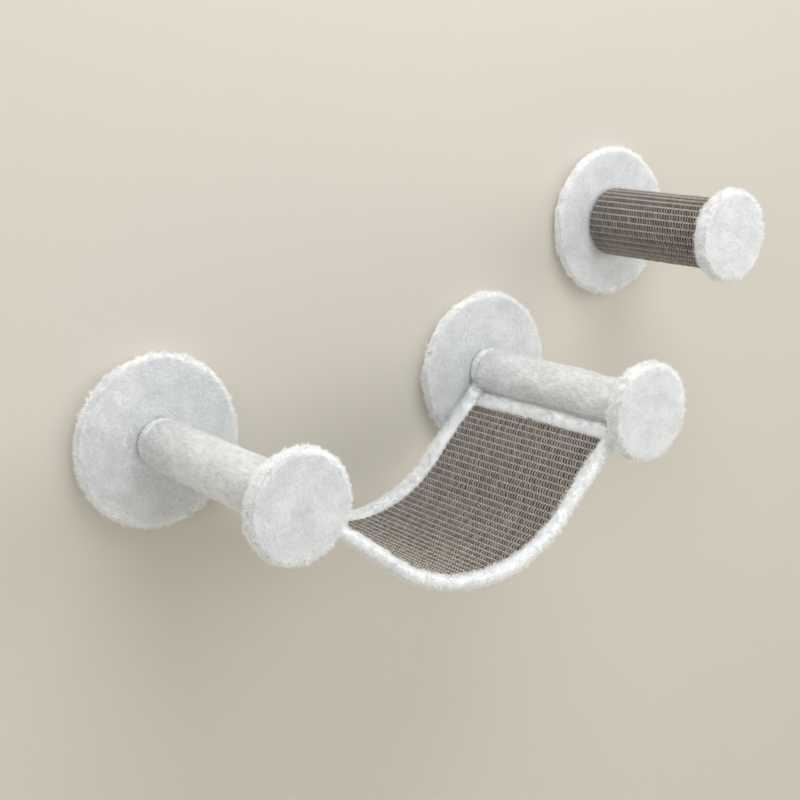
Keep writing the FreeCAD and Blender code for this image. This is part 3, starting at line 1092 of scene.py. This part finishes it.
def stageSheet(name, corners, tint):
    # Plain from the front, and not seen from behind
    piece = addPiece(name, corners, [(0, 1, 2, 3)], "cloth")
    finish = Finish(name, Roughness=0.95, Base_Color=tint, Specular_IOR_Level=0.1)
    path = finish.node("ShaderNodeLightPath", {}, {}, "Is Camera Ray")
    behind = finish.node("ShaderNodeNewGeometry", {}, {}, "Backfacing")
    clear = finish.node("ShaderNodeBsdfTransparent")
    shown = Wire(finish, finish.shader.outputs[0])
    blend = finish.node("ShaderNodeMixShader", {}, {0: path * behind, 1: shown, 2: clear})
    finish.plug(finish.tree.nodes["Material Output"].inputs["Surface"], blend)
    piece.data.materials[0] = finish.material
    piece.visible_shadow = False


def room():
    far = roomLook["reach"]
    down = -roomLook["floorDrop"]
    back = roomLook["gap"]
    stageSheet("wall", [(-far, back, down), (far, back, down), (far, back, far), (-far, back, far)],
               roomLook["wall"])
    stageSheet("floor", [(-far, -far, down), (far, -far, down), (far, far, down), (-far, far, down)],
               roomLook["floor"])


# Each lamp's place, size in metres and power in watts
lamps = {"left": ((-2.6, -2.4, 1.0), 2.0, 25),
         "right": ((3.0, -2.6, 0.9), 2.4, 44),
         "top": ((0.4, -0.9, 2.0), 1.5, 34),
         "front": ((0.3, -2.6, 0.2), 1.6, 7),
         "rear left": ((-2.4, 3.4, 1.8), 2.4, 40),
         "rear right": ((2.8, 3.4, 1.4), 2.4, 34)}
lampsAim = Vector((0.35, -0.15, 0.0))


def lamp(name, place, size, power):
    light = bpy.data.lights.new(name, "AREA")
    light.size = size
    light.energy = power
    piece = bpy.data.objects.new(name, light)
    piece.location = place
    piece.rotation_euler = (lampsAim - Vector(place)).to_track_quat("-Z", "Y").to_euler()
    scene.collection.objects.link(piece)


worldLook = {"tint": colour(240, 240, 238), "light": 0.55, "seen": 0.9}


def surroundings():  # paler to the camera, and in metal, than the light that it gives
    world = bpy.data.worlds.new("studio")
    world.use_nodes = True
    sky = Graph(world.node_tree)
    seen = sky.node("ShaderNodeLightPath", {}, {}, "Is Camera Ray")
    for ray in ("Is Glossy Ray", "Is Transmission Ray"):
        seen = seen.math("MAXIMUM", seen, sky.node("ShaderNodeLightPath", {}, {}, ray))
    light = worldLook["light"]
    background = world.node_tree.nodes["Background"]
    sky.plug(background.inputs["Color"], worldLook["tint"])
    sky.plug(background.inputs["Strength"], seen * (worldLook["seen"] - light) + light)
    scene.world = world


# The focal length is in pixels of a picture this wide, and the angles are in radians
cameraLook = {"focal": 1364.58, "picture": 800, "place": (-0.68076, -1.40917, 0.45984),
              "yaw": 0.63653, "pitch": -0.26789, "roll": -0.03460}


def camera():
    data = bpy.data.cameras.new("camera")
    data.lens = cameraLook["focal"] / cameraLook["picture"] * data.sensor_width
    piece = bpy.data.objects.new("camera", data)
    yaw, pitch, roll = cameraLook["yaw"], cameraLook["pitch"], cameraLook["roll"]
    ahead = Vector((sin(yaw) * cos(pitch), cos(yaw) * cos(pitch), sin(pitch)))
    right = Vector((cos(yaw), -sin(yaw), 0))
    up = right.cross(ahead)
    turnedRight = right * cos(roll) + up * sin(roll)
    turnedUp = up * cos(roll) - right * sin(roll)
    turn = Matrix((turnedRight, turnedUp, -ahead)).transposed()
    piece.matrix_world = Matrix.Translation(cameraLook["place"]) @ turn.to_4x4()
    scene.collection.objects.link(piece)
    scene.camera = piece


room()
for name, (place, size, power) in lamps.items():
    lamp(name, place, size, power)
surroundings()
camera()
print("room, lamps and camera made")
